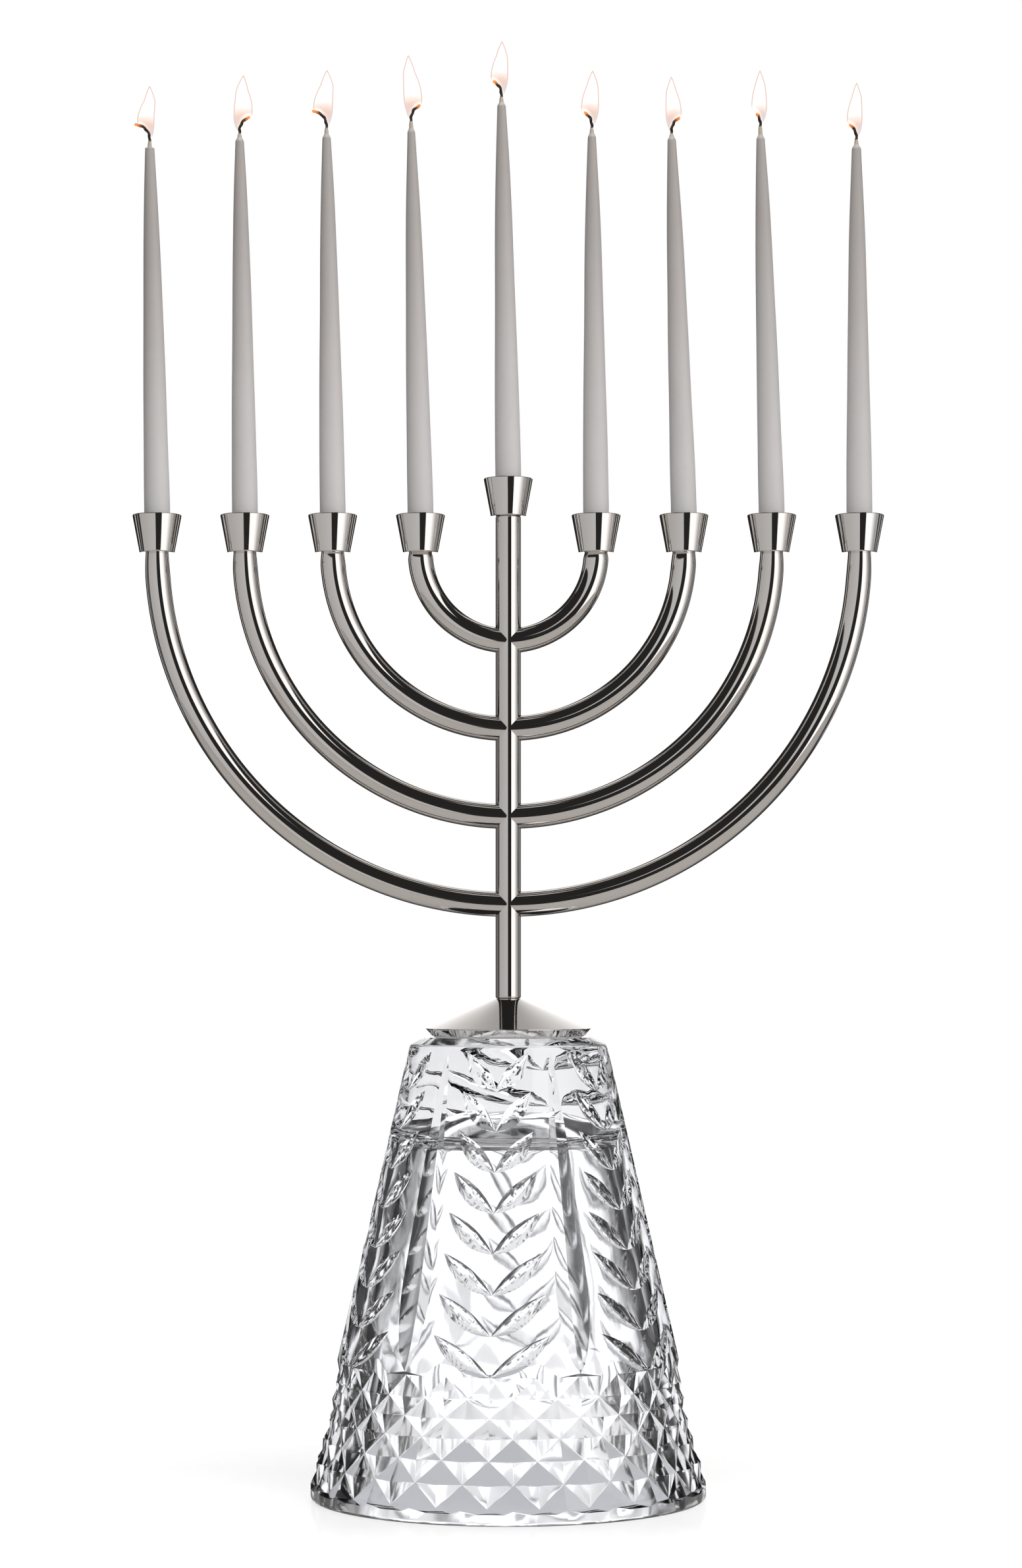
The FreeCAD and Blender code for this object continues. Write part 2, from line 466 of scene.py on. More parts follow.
def crystalSector():
    cut = crystalCut
    halfSector = 180.0 / cut["sectors"]
    (footRadius, footHeight) = cut["bellFoot"]
    (shoulderRadius, shoulderHeight) = cut["bellShoulder"]
    slope = (shoulderRadius - footRadius) / (shoulderHeight - footHeight)
    verts = []
    faces = []

    def bell(height):
        return footRadius + slope * (height - footHeight)

    def add(azimuth, radius, height):
        turn = math.radians(azimuth + cut["turn"])
        verts.append((radius * math.sin(turn) * mm, -radius * math.cos(turn) * mm, height * mm))
        return len(verts) - 1

    # the plain panel with its cuts, flat: x in degrees times a fixed scale, y in mm
    flatScale = 0.85
    flat = []                        # (azimuth, height, depth below the bell)
    edges = []

    def put(azimuth, height, depth=0.0):
        for place, (otherAzimuth, otherHeight, otherDepth) in enumerate(flat):
            if abs(azimuth - otherAzimuth) < 1e-4 and abs(height - otherHeight) < 1e-4:
                return place
        flat.append((azimuth, height, depth))
        return len(flat) - 1

    def chain(places):
        edges.extend(zip(places, places[1:]))

    # the diamond band: groove crossings and peaks take turns
    columns = cut["columns"]

    def columnAzimuth(column):
        return -halfSector + 2 * halfSector * column / columns

    def isLow(column, line=0):
        return (column - columns // 2 + line) % 2 == 0

    # lowest edge, on the first row of groove crossings
    rowHeight, rowPeak, rowDepth = cut["diamondRows"][0]
    chain([
        put(columnAzimuth(column), rowHeight, rowDepth if isLow(column) else 0.0)
        for column in range(columns + 1)
    ])

    # highest edge, at the shoulder
    topSteps = round(2 * halfSector / cut["gridTurn"])
    topRow = [put(-halfSector + cut["gridTurn"] * step, shoulderHeight) for step in range(topSteps + 1)]
    chain(topRow)

    # long mitre cuts: their bottom line is the panel's side edge
    def mitreShare(share):
        widest = cut["mitreWidest"]
        if share < widest:
            return math.sqrt(max(0.0, 1 - ((widest - share) / widest) ** 2)) ** 1.3
        return ((1 - share) / (1 - widest)) ** 0.62

    mitreEdges = []
    for side in (-1, 1):
        bottomLine = [put(side * halfSector, rowHeight)]
        rim = []
        for step in range(cut["mitreSteps"] + 1):
            share = step / cut["mitreSteps"]
            height = cut["mitreLow"] + share * (cut["mitreHigh"] - cut["mitreLow"])
            part = mitreShare(share)
            bottomLine.append(put(side * halfSector, height, cut["mitreDepth"] * part))
            inward = math.degrees(cut["mitreHalfWidth"] * part / bell(height))
            rim.append(put(side * (halfSector - inward), height))
            mitreEdges.append((side, height, inward))
        bottomLine.append(put(side * halfSector, shoulderHeight))
        chain(bottomLine)
        chain(rim)

    # leaf cuts in pairs that meet in a point on the panel's middle
    leafLines = []
    for pair in range(cut["leafPairs"]):
        share = pair / (cut["leafPairs"] - 1)
        start = cut["leafLow"] + pair * cut["leafStep"]
        reach = cut["leafReach"][0] * (1 - share) + cut["leafReach"][1] * share
        rise = min(cut["leafRise"], shoulderHeight - 0.7 - start)
        for side in (-1, 1):
            strips = cut["leafStrips"]
            lines = {strip: [] for strip in range(-strips, strips + 1)}
            for step in range(cut["leafSteps"] + 1):
                along = step / cut["leafSteps"]
                swell = 1 - (2 * along - 1) ** 2
                azimuth = side * reach * along
                height = start + rise * along - cut["leafSag"] * swell
                perDegree = math.radians(1) * bell(height)
                length = math.hypot(reach * perDegree, rise)
                across = Vector((-rise * side / length / perDegree, reach * perDegree / length))
                half = cut["leafHalfWidth"] * swell
                for strip, line in lines.items():
                    share = strip / strips
                    spot = across * half * share
                    hollow = cut["leafDepth"] * swell * (1 - share * share)
                    line.append(put(azimuth + spot.x, height + spot.y, hollow))
                leafLines.append((azimuth, height, half))
            for line in lines.values():
                chain(line)

    # free points on the plain surface, kept away from every cut
    def isFree(azimuth, height):
        perDegree = math.radians(1) * bell(height)
        for side, mitreHeight, inward in mitreEdges:
            if abs(height - mitreHeight) < 2.5:
                if abs(azimuth - side * halfSector) < inward + 1.3:
                    return False
        for leafAzimuth, leafHeight, half in leafLines:
            gap = math.hypot((azimuth - leafAzimuth) * perDegree, height - leafHeight)
            if gap < half + 1.0:
                return False
        return True

    rises = round((shoulderHeight - rowHeight) / cut["gridRise"])
    for line in range(1, rises):
        height = rowHeight + (shoulderHeight - rowHeight) * line / rises
        for step in range(1, topSteps):
            azimuth = -halfSector + cut["gridTurn"] * step
            if isFree(azimuth, height):
                put(azimuth, height)

    points = [Vector((azimuth * flatScale, height)) for azimuth, height, depth in flat]
    result = geometry.delaunay_2d_cdt(points, edges, [], 0, 1e-5)
    placed = []
    for spot, origins in zip(result[0], result[3]):
        azimuth = spot.x / flatScale
        height = spot.y
        depth = flat[origins[0]][2] if origins else 0.0
        placed.append(add(azimuth, bell(height) - depth, height))
    for face in result[2]:
        faces.append(tuple(placed[corner] for corner in face))

    rows = []
    for line, (height, peak, depth) in enumerate(cut["diamondRows"]):
        rows.append([
            add(columnAzimuth(column), peak - depth if isLow(column, line) else peak, height)
            for column in range(columns + 1)
        ])
    for line in range(len(rows) - 1):
        for column in range(columns):
            here, right = rows[line][column], rows[line][column + 1]
            under, underRight = rows[line + 1][column], rows[line + 1][column + 1]
            if isLow(column, line):
                faces.append((here, under, underRight))
                faces.append((here, underRight, right))
            else:
                faces.append((here, under, right))
                faces.append((right, under, underRight))

    # the smooth ring, the bottom, the hollow and the shoulder are turned, in fine steps
    fineSteps = topSteps

    def ring(radius, height):
        if radius == 0:
            return [add(0, 0, height)]
        return [add(-halfSector + cut["gridTurn"] * step, radius, height) for step in range(fineSteps + 1)]

    def bridge(first, second):
        for step in range(fineSteps):
            if len(second) == 1:
                faces.append((first[step], first[step + 1], second[0]))
            elif len(first) == 1:
                faces.append((first[0], second[step + 1], second[step]))
            else:
                faces.append((first[step], first[step + 1], second[step + 1], second[step]))

    ringTop = ring(72.0, 4.2)
    perColumn = fineSteps // columns
    for column in range(columns):
        left, right = rows[-1][column], rows[-1][column + 1]
        fan = ringTop[column * perColumn:(column + 1) * perColumn + 1]
        half = perColumn // 2
        for step in range(perColumn):
            faces.append((left if step < half + 1 else right, fan[step], fan[step + 1]))
        faces.append((left, fan[half + 1], right))

    top = cut["hollowTop"]
    outline = rounded(
        [(72.0, 4.2), (72.0, 0.0), (cut["hollowMouth"], 0.0), cut["hollowRoof"],
         (12.0, top - 0.5), (0.0, top)],
        [0, 1.5, 0.6, cut["hollowRound"], 11.0, 0], 8,
    )
    rings = [ringTop] + [ring(radius, height) for radius, height in outline[1:]]
    for first, second in zip(rings, rings[1:]):
        bridge(second, first)

    crown = rounded(
        [(shoulderRadius, shoulderHeight), (35.8, 165.0), (30.6, 167.6), (0.0, 167.7)],
        [0, 1.3, 0.5, 0], 7,
    )
    crown = [(shoulderRadius, shoulderHeight)] + crown[1:-1] + [(0.0, 167.7)]
    crownRings = [ring(radius, height) for radius, height in crown]
    for first, second in zip(crownRings, crownRings[1:]):
        bridge(first, second)

    mesh = bpy.data.meshes.new("crystalSector")
    mesh.from_pydata(verts, [], faces)
    mesh.update()
    return mesh


def valueSocket(tree, name, kind="NodeSocketFloat"):
    return tree.interface.new_socket(name=name, in_out="INPUT", socket_type=kind).identifier


def newShapeTree(name):
    # a geometry tree with a Geometry input and output; the tree and its kit are returned
    tree = bpy.data.node_groups.new(name, "GeometryNodeTree")
    tree.interface.new_socket(name="Geometry", in_out="INPUT", socket_type="NodeSocketGeometry")
    tree.interface.new_socket(name="Geometry", in_out="OUTPUT", socket_type="NodeSocketGeometry")
    return tree, TreeKit(tree)


def runTree(tree, baseMesh, values):
    # applies a tree to a mesh and gives back a plain mesh
    carrier = bpy.data.objects.new(tree.name + "Carrier", baseMesh)
    bpy.context.scene.collection.objects.link(carrier)
    modifier = carrier.modifiers.new("shape", "NODES")
    modifier.node_group = tree
    for identifier, value in values.items():
        modifier[identifier] = value
    carrier.update_tag()
    graph = bpy.context.evaluated_depsgraph_get()
    made = bpy.data.meshes.new_from_object(carrier.evaluated_get(graph))
    carrier.modifiers.remove(modifier)
    bpy.data.objects.remove(carrier)
    return made


def roundTheAxisTree():
    # sets copies of the incoming shape round the upright axis and welds them
    tree, kit = newShapeTree("sectorsRoundTheAxis")
    countId = valueSocket(tree, "Sectors", "NodeSocketInt")
    weldId = valueSocket(tree, "Weld Distance")
    given = kit.node("NodeGroupInput")
    count = kit.another(given, 1)
    weld = kit.another(given, 2)
    points = kit.node("GeometryNodePoints", None, {"Count": count})
    index = kit.node("GeometryNodeInputIndex")
    turn = kit.node("ShaderNodeMath", {"operation": "MULTIPLY"}, {0: index, 1: 2 * math.pi / count})
    spin = kit.node("ShaderNodeCombineXYZ", None, {"Z": turn})
    copies = kit.node("GeometryNodeInstanceOnPoints", None, {
        "Points": points, "Instance": given, "Rotation": spin,
    })
    whole = kit.node("GeometryNodeRealizeInstances", None, {"Geometry": copies})
    welded = kit.node("GeometryNodeMergeByDistance", None, {"Geometry": whole, "Distance": weld})
    dressed = kit.node("GeometryNodeSetMaterial", None, {
        "Geometry": welded, "Material": materials["crystal"],
    })
    kit.node("NodeGroupOutput", None, {"Geometry": dressed})
    return tree, countId, weldId


def softenDiamonds(mesh):
    # narrow polished edges between the facets of the band
    low, high = crystalCut["edgeBand"]
    work = bmesh.new()
    work.from_mesh(mesh)
    work.normal_update()
    edges = []
    for edge in work.edges:
        first, second = edge.verts
        outside = min(first.co.xy.length, second.co.xy.length) > crystalCut["edgeInside"] * mm
        inBand = low * mm < min(first.co.z, second.co.z) and max(first.co.z, second.co.z) < high * mm
        if outside and inBand and len(edge.link_faces) == 2:
            if edge.calc_face_angle() > math.radians(crystalCut["edgeAngle"]):
                edges.append(edge)
    bmesh.ops.bevel(
        work, geom=edges, offset=crystalCut["edgeWidth"] * mm, offset_type="OFFSET", segments=2,
        profile=0.5, affect="EDGES", clamp_overlap=True,
    )
    work.to_mesh(mesh)
    work.free()


def makeCrystalBase():
    tree, countId, weldId = roundTheAxisTree()
    values = {countId: crystalCut["sectors"], weldId: 0.00001}
    mesh = runTree(tree, crystalSector(), values)
    mesh.name = "cutCrystalBase"
    softenDiamonds(mesh)
    cleanMesh(mesh, 0.00001, 11.0)
    piece = newPiece("cut_crystal_base", mesh, "crystal", "stand", ["crystal_base"])
    piece.visible_shadow = False     # light comes through it on to the table
    print("crystal base:", len(mesh.polygons), "faces")


makeCrystalBase()


# stem, arms, plate and cups in polished nickel

metalCut = {
    "stemRadius": 4.65,
    "stemFoot": 181.6,
    "stemTop": 357.2,
    "stemFootRound": 0.8,
    "rodRound": 0.45,
    "armRadius": 4.62,
    "armCentre": 344.0,
    "spacing": 32.0,
    "around": 96,
    "plate": [(0.0, 168.0), (28.0, 168.0), (30.3, 170.6), (30.3, 170.8), (4.65, 181.6), (0.0, 181.6)],
    "plateRounds": [0, 0.25, 0.07, 0.07, 0, 0],
    "cupHeight": 13.8,
    "cup": [(0.0, 0.0), (6.4, 0.0), (9.05, 13.8), (7.9, 13.8), (5.0, 12.6), (5.0, 2.8), (0.0, 2.8)],
    "cupRounds": [0, 0.4, 0.35, 0.3, 0.4, 0, 0],
}


def bentArmTree():
    # a quarter bend from the stem up to a cup, swept with a round section whose end is rounded
    tree, kit = newShapeTree("bentArm")
    sweepId = valueSocket(tree, "Bend Radius")
    rodId = valueSocket(tree, "Rod Radius")
    roundId = valueSocket(tree, "Edge Round")
    centreId = valueSocket(tree, "Centre Height")
    sideId = valueSocket(tree, "Side")
    given = kit.node("NodeGroupInput")
    sweep, rod, edge, centre, side = [kit.another(given, place) for place in range(1, 6)]
    line = kit.node("GeometryNodeCurvePrimitiveLine")
    steps = 220
    path = kit.node("GeometryNodeResampleCurve", None, {"Curve": line, "Count": steps + 1})
    share = kit.node("GeometryNodeSplineParameter", out="Factor")
    # the last steps crowd into the rounded end
    length = sweep * (math.pi / 2)
    roundSteps = 12
    bodyShare = share.math("DIVIDE", 1 - roundSteps / steps).math("MINIMUM", 1.0)
    endShare = ((share - (1 - roundSteps / steps)) * (steps / roundSteps)).math("MAXIMUM", 0.0)
    endAngle = endShare * (math.pi / 2)
    travelled = bodyShare * (length - edge) + endAngle.math("SINE") * edge
    inset = (1 - endAngle.math("COSINE")) * edge
    turn = travelled / sweep
    place = kit.node("ShaderNodeCombineXYZ", None, {
        "X": turn.math("SINE") * sweep * side, "Y": 0.0, "Z": centre - turn.math("COSINE") * sweep,
    })
    bent = kit.node("GeometryNodeSetPosition", None, {"Geometry": path, "Position": place})
    thin = kit.node("GeometryNodeSetCurveRadius", None, {"Curve": bent, "Radius": 1 - inset / rod})
    section = kit.node("GeometryNodeCurvePrimitiveCircle", None, {
        "Resolution": metalCut["around"], "Radius": rod,
    })
    tube = kit.node("GeometryNodeCurveToMesh", None, {
        "Curve": thin, "Profile Curve": section, "Scale": kit.node("GeometryNodeInputRadius"),
        "Fill Caps": True,
    })
    whole = kit.node("GeometryNodeRealizeInstances", None, {"Geometry": tube})
    dressed = kit.node("GeometryNodeSetMaterial", None, {
        "Geometry": whole, "Material": materials["nickel"],
    })
    kit.node("NodeGroupOutput", None, {"Geometry": dressed})
    return tree, (sweepId, rodId, roundId, centreId, sideId)


def makeArms():
    cut = metalCut
    tree, ids = bentArmTree()
    for side, word in ((-1, "left"), (1, "right")):
        for number in range(1, 5):
            sizes = (
                number * cut["spacing"] * mm, cut["armRadius"] * mm, cut["rodRound"] * mm,
                cut["armCentre"] * mm, float(side),
            )
            seed = bpy.data.meshes.new("armSeed")
            mesh = runTree(tree, seed, dict(zip(ids, sizes)))
            mesh.name = "bentArm"
            cleanMesh(mesh, 1e-7, 30.0)
            node = "arm_" + word + "_" + str(number)
            newPiece("nickel_" + node, mesh, "nickel", "stand", [node])
    print("arms made")


def inMillimetres(outline):
    return [(radius * mm, height * mm) for radius, height in outline]


def makeStem():
    cut = metalCut
    corners = [
        (0.0, cut["stemFoot"]), (cut["stemRadius"], cut["stemFoot"]),
        (cut["stemRadius"], cut["stemTop"]), (0.0, cut["stemTop"]),
    ]
    outline = rounded(corners, [0, cut["stemFootRound"], cut["rodRound"], 0], 8)
    mesh = lathe("stemRod", inMillimetres(outline), cut["around"])
    newPiece("nickel_stem", mesh, "nickel", "stand", ["stem"])


def makePlate():
    cut = metalCut
    outline = rounded(cut["plate"], cut["plateRounds"], 4)
    mesh = lathe("capPlate", inMillimetres(outline), 192, 0.0, 20.0)
    newPiece("nickel_cap_plate", mesh, "nickel", "stand", ["cap_plate"])


def cupPlace(name):
    # where a cup stands: along the row, and the height of its foot
    if name == "centre":
        return 0.0, metalCut["stemTop"]
    side, number = name.split("_")
    reach = metalCut["spacing"] * int(number)
    return (-reach if side == "left" else reach), metalCut["armCentre"]


def makeCups():
    cut = metalCut
    shape = rounded(cut["cup"], cut["cupRounds"], 5)
    for name in rowNames:
        x, foot = cupPlace(name)
        outline = [(radius, height + foot) for radius, height in shape]
        mesh = lathe("candleCup", inMillimetres(outline), cut["around"], x * mm)
        newPiece("nickel_cup_" + name, mesh, "nickel", "stand", ["cup_" + name])
    print("stem, plate and cups made")


makeStem()
makeArms()
makePlate()
makeCups()


# candles, wicks and flames

taperCut = {
    "outline": [(-11.0, 4.7), (10.0, 4.7), (44.0, 4.15), (92.0, 3.2), (116.0, 2.5), (130.0, 1.85)],
    "leanStart": 2.0,
    "shoulder": 1.7,
    "flatShoulder": 0.15,
    "neckRadius": 0.8,
    "buttRound": 0.5,
    "seat": 11.0,                    # how far the butt sits in the cup
    "ringGap": 1.6,
    "hairline": (52.0, 0.5, 0.05),   # height, half width and depth of the faint ring on one taper
    "around": 48,
    "ripple": 0.035,                 # mm, the unevenness of dipped wax
}

# wax height, neck length, lean towards -X, wick bend; then the flame's height, width and how far
# its top stands to the side, all in mm and degrees
taperSet = {
    "left_4": (135.5, 1.6, 1.17, -95, 20.9, 6.3, 0.0),
    "left_3": (138.5, 0.7, 0.82, 75, 21.8, 6.9, 1.4),
    "left_2": (140.4, 1.4, 0.94, -90, 21.8, 7.2, 0.2),
    "left_1": (142.9, 1.8, 1.40, 72, 24.7, 6.8, -1.0),
    "centre": (138.6, 1.2, 1.05, -67, 20.9, 6.4, 0.2),
    "right_1": (140.6, 1.3, 0.64, -64, 21.4, 6.5, 0.3),
    "right_2": (138.6, 0.4, 1.87, 66, 21.2, 5.9, -0.1),
    "right_3": (141.2, 2.6, 1.70, -45, 20.9, 5.7, -0.1),
    "right_4": (136.3, 1.2, 0.47, -60, 21.3, 5.7, 0.1),
}


def within(value):
    # keeps a share between 0 and 1
    return min(1.0, max(0.0, value))


def between(points, at):
    # straight-line reading of a list of (place, value)
    for (start, first), (end, second) in zip(points, points[1:]):
        if at <= end:
            share = max(0.0, (at - start) / (end - start))
            return first + (second - first) * share
    start, end = points[-2:]
    slope = (end[1] - start[1]) / (end[0] - start[0])
    return end[1] + slope * (at - end[0])


def leanShift(name, height):
    lean = taperSet[name][2]
    return -math.tan(math.radians(lean)) * max(0.0, height - taperCut["leanStart"])


def loft(name, sections, around, attributes):
    # rings joined into one closed tube: each has a centre, a tilt and its radius by angle, and
    # attributes gives each ring's own values
    verts = []
    faces = []
    for centre, tilt, radiusAt in sections:
        for step in range(around):
            angle = 2 * math.pi * step / around
            radius = radiusAt(angle)
            flat = Vector((radius * math.cos(angle), radius * math.sin(angle), 0.0))
            verts.append(Vector(centre) + Matrix.Rotation(tilt, 3, "Y") @ flat)
    for place in range(len(sections) - 1):
        for step in range(around):
            after = (step + 1) % around
            low, high = place * around, (place + 1) * around
            faces.append((low + step, low + after, high + after, high + step))
    for place, flipped in ((0, True), (len(sections) - 1, False)):
        verts.append(Vector(sections[place][0]))
        hub = len(verts) - 1
        for step in range(around):
            corner = [hub, place * around + step, place * around + (step + 1) % around]
            faces.append(tuple(reversed(corner)) if flipped else tuple(corner))
    mesh = bpy.data.meshes.new(name)
    mesh.from_pydata(verts, [], faces)
    for key, series in attributes.items():
        layer = mesh.attributes.new(key, "FLOAT", "POINT")
        values = [value for value in series for step in range(around)] + [series[0], series[-1]]
        layer.data.foreach_set("value", values)
    mesh.shade_smooth()
    mesh.set_sharp_from_angle(angle=math.radians(40))
    return mesh


def taperRadius(name, height):
    # the dipped taper, softened where its slope changes, then the shoulder and the thin neck
    waxHeight, neckLength = taperSet[name][:2]
    shoulder = taperCut["flatShoulder"] if name == "left_4" else taperCut["shoulder"]
    neckStart = waxHeight - neckLength
    shoulderStart = neckStart - shoulder
    outline = taperCut["outline"]
    if height <= shoulderStart:
        spread = min(9.0, shoulderStart - height)
        reads = [between(outline, height + spread * step / 4) for step in range(-4, 5)]
        return sum(reads) / len(reads)
    edge = between(outline, shoulderStart)
    if height >= neckStart:
        return taperCut["neckRadius"] * (1 - 0.12 * (height - neckStart) / neckLength)
    share = (height - shoulderStart) / shoulder
    ease = share * share * (3 - 2 * share)
    return edge + (taperCut["neckRadius"] - edge) * (0.45 * share + 0.55 * ease)


def makeCandle(name):
    waxHeight, neckLength = taperSet[name][:2]
    x, foot = cupPlace(name)
    mouth = foot + metalCut["cupHeight"]
    chance = random.Random(sum(map(ord, name)))
    waves = [
        (chance.uniform(0.03, 0.16), chance.uniform(0, 6.3), chance.randint(0, 2))
        for wave in range(5)
    ]
    neckStart = waxHeight - neckLength
    cut = taperCut
    seat, gap = cut["seat"], cut["ringGap"]
    heights = [-seat, -seat + 0.1, -seat + 0.25, -seat + cut["buttRound"]]
    heights += [1 - seat + gap * step for step in range(int((neckStart - 5 + 10) / gap) + 1)]
    last = heights[-1]
    heights += [last + (neckStart - last) * step / 22 for step in range(1, 23)]
    heights += [neckStart + neckLength * step / 6 for step in range(1, 7)]
    sections = []
    warmth = []
    neck = []
    for height in heights:
        base = taperRadius(name, height)
        left = cut["buttRound"] - (height + seat)
        if left > 0:
            base -= cut["buttRound"] - math.sqrt(max(0.0, cut["buttRound"] ** 2 - left ** 2))
        if name == "left_3":
            middle, halfWidth, depth = cut["hairline"]
            base -= depth * math.exp(-((height - middle) / halfWidth) ** 2)
        calm = within((height - 4.0) / 15.0) * within((neckStart - height) / 3.0)

        def radiusAt(angle, base=base, height=height, calm=calm):
            sway = sum(math.sin(height * rate + phase + turns * angle) for rate, phase, turns in waves)
            return (base + cut["ripple"] * calm * sway * 0.5) * mm

        centre = (x + leanShift(name, height), 0.0, mouth + height)
        sections.append((Vector(centre) * mm, 0.0, radiusAt))
        # how much painted flame glow and shade this ring gets, a little more on left_4
        warmth.append(max(0.0, height) / waxHeight * (1.12 if name == "left_4" else 1.0))
        neck.append(within(height - neckStart + 0.4))
    mesh = loft("dippedTaper", sections, cut["around"], {"warmth": warmth, "neck": neck})
    newPiece("wax_" + name, mesh, "wax", "taper_" + name, ["candle_" + name])


wickCut = {
    "radius": 0.5,
    "strand": 0.09,                  # how far the three braided strands stand out, mm
    "twist": 2.3,                    # radians for each mm
    "straight": 1.5,
    "bendRadius": 5.2,
    "inWax": 1.6,
    "wobble": 0.09,
    "around": 24,
    "step": 0.12,
}


def wickBase(name):
    # middle of the wick where it leaves the wax, mm
    waxHeight = taperSet[name][0]
    x, foot = cupPlace(name)
    return Vector((x + leanShift(name, waxHeight), 0.0, foot + metalCut["cupHeight"] + waxHeight))


def makeWick(name):
    cut = wickCut
    bend = taperSet[name][3]
    side = 1 if bend > 0 else -1
    turn = math.radians(abs(bend))
    base = wickBase(name)
    total = cut["inWax"] + cut["straight"] + cut["bendRadius"] * turn
    chance = random.Random(7 + sum(map(ord, name)))
    phases = [chance.uniform(0, 6.3) for wave in range(3)]
    count = round(total / cut["step"])
    sections = []
    burn = []
    for step in range(count + 1):
        travelled = total * step / count
        curved = max(0.0, travelled - cut["inWax"] - cut["straight"])
        angle = curved / cut["bendRadius"]
        straight = min(travelled - cut["inWax"], cut["straight"])
        sideways = side * cut["bendRadius"] * (1 - math.cos(angle))
        rise = straight + cut["bendRadius"] * math.sin(angle)
        sway = cut["wobble"] * within((travelled - cut["inWax"]) / 2.0)
        wobble = sway * math.sin(1.9 * travelled + phases[0])
        aside = sway * math.sin(1.4 * travelled + phases[1])
        centre = base + Vector((sideways + wobble, aside, rise))
        toEnd = total - travelled
        cap = math.sqrt(max(0.02, 1 - max(0.0, 1 - toEnd / 0.45) ** 2))
        girth = cut["radius"] * (1 + 0.08 * math.sin(2.7 * travelled + phases[2])) * cap

        def radiusAt(around, girth=girth, travelled=travelled, cap=cap):
            lobes = math.cos(3 * around + cut["twist"] * travelled)
            return (girth + cut["strand"] * lobes * cap) * mm

        sections.append((centre * mm, side * angle, radiusAt))
        burn.append(max(0.0, (travelled - cut["inWax"])) / (total - cut["inWax"]))
    mesh = loft("braidedWick", sections, cut["around"], {"burn": burn})
    newPiece("braid_" + name, mesh, "wick", "taper_" + name, ["wick_" + name])


flameLook = {
    "white": colour(1.0, 1.0, 1.0),
    "peach": colour(0.57, 0.45, 0.38),
    "power": 1.75,
    "edge": colour(0.80, 0.50, 0.42),
    "edgeLow": colour(0.62, 0.60, 0.66),
    "edgePower": 1.0,
    "edgeAlpha": 0.46,
}


def flameMaterials():
    # "glow" is 1 in the peach light above the wick, "veil" is how solid the flame looks there
    look = flameLook
    for name, stirScale in (("flameHeart", 240.0), ("flameEdge", 180.0)):
        material, kit = newMaterial(name)
        glow = kit.attribute("glow")
        veil = kit.attribute("veil")
        stir = kit.noise(stirScale, 2.0)
        if name == "flameHeart":
            power = look["power"]
            tint = kit.blend((glow + (stir - 0.5) * 0.12).smooth(0.0, 1.0), look["white"], look["peach"])
            cover = veil
        else:
            power = look["edgePower"]
            tint = kit.blend(glow, look["edge"], look["edgeLow"])
            cover = veil * (0.9 + stir * 0.2) * look["edgeAlpha"]
        materials[name] = finishMaterial(material, kit, {
            "Base Color": colour(0, 0, 0),
            "Roughness": 1.0,
            "Specular IOR Level": 0.0,
            "Emission Color": tint,
            "Emission Strength": power,
            "Alpha": cover,
        })


flameMaterials()

flameCut = {"widest": 0.37, "around": 48, "rings": 72, "edgeGap": 0.42, "follow": 0.25}


def flameWidth(share):
    widest = flameCut["widest"]
    if share < widest:
        return math.sin(math.pi / 2 * share / widest) ** 0.85
    return math.cos(math.pi / 2 * (share - widest) / (1 - widest)) ** 0.8


def makeFlame(name):
    cut = flameCut
    bend, tall, wide, topShift = taperSet[name][3:7]
    side = 1 if bend > 0 else -1
    turn = math.radians(abs(bend))
    reach = wickCut["bendRadius"] * (1 - math.cos(turn))
    rise = wickCut["straight"] + wickCut["bendRadius"] * math.sin(turn)
    base = wickBase(name)
    wickLine = []
    for step in range(33):
        angle = turn * step / 32
        place = (side * wickCut["bendRadius"] * (1 - math.cos(angle)),
                 wickCut["straight"] + wickCut["bendRadius"] * math.sin(angle))
        wickLine.append((Vector(place), Vector((side * math.sin(angle), math.cos(angle)))))

    def overWick(spot):
        # how far a point stands from the wick, on the side away from its bend, mm
        flat = Vector((spot.x, spot.z))
        point, along = min(wickLine, key=lambda pair: (pair[0] - flat).length)
        return (along.x * (flat.y - point.y) - along.y * (flat.x - point.x)) * side

    for kind, gap, first in (("Heart", cut["edgeGap"], 0.09), ("Edge", 0.0, 0.04)):
        sections = []
        for step in range(cut["rings"] + 1):
            share = first + (1 - first) * step / cut["rings"]
            height = tall * share
            if kind == "Heart":
                height = min(height, tall - 2.2 * gap)
            radius = max(0.02, wide / 2 * flameWidth(height / tall) - gap)
            swing = math.sin(math.pi * min(1.0, share / (2 * cut["widest"])))
            follow = cut["follow"] * side * reach * swing
            shift = follow + topShift * max(0.0, share - 0.2) / 0.8
            centre = base + Vector((shift, 0.0, height))
            sections.append((centre * mm, 0.0, lambda around, radius=radius: radius * mm))
        empty = [0.0] * len(sections)
        mesh = loft("flame" + kind, sections, cut["around"], {"glow": empty, "veil": empty})
        glowHeights = (rise - 1.0, 6.0) if kind == "Heart" else (2.5, 5.0)
        for place, vert in enumerate(mesh.vertices):
            spot = vert.co / mm - base
            glow = 1 - within((spot.z - glowHeights[0]) / glowHeights[1])
            veil = within((overWick(spot) - 0.45) / 0.7) * within((spot.z - 1.2) / 1.8)
            mesh.attributes["glow"].data[place].value = glow
            mesh.attributes["veil"].data[place].value = veil
        body = "taper_" + name
        piece = newPiece("flame_" + kind.lower() + "_" + name, mesh, "flame" + kind, body, [])
        piece.visible_diffuse = False
        piece.visible_shadow = False


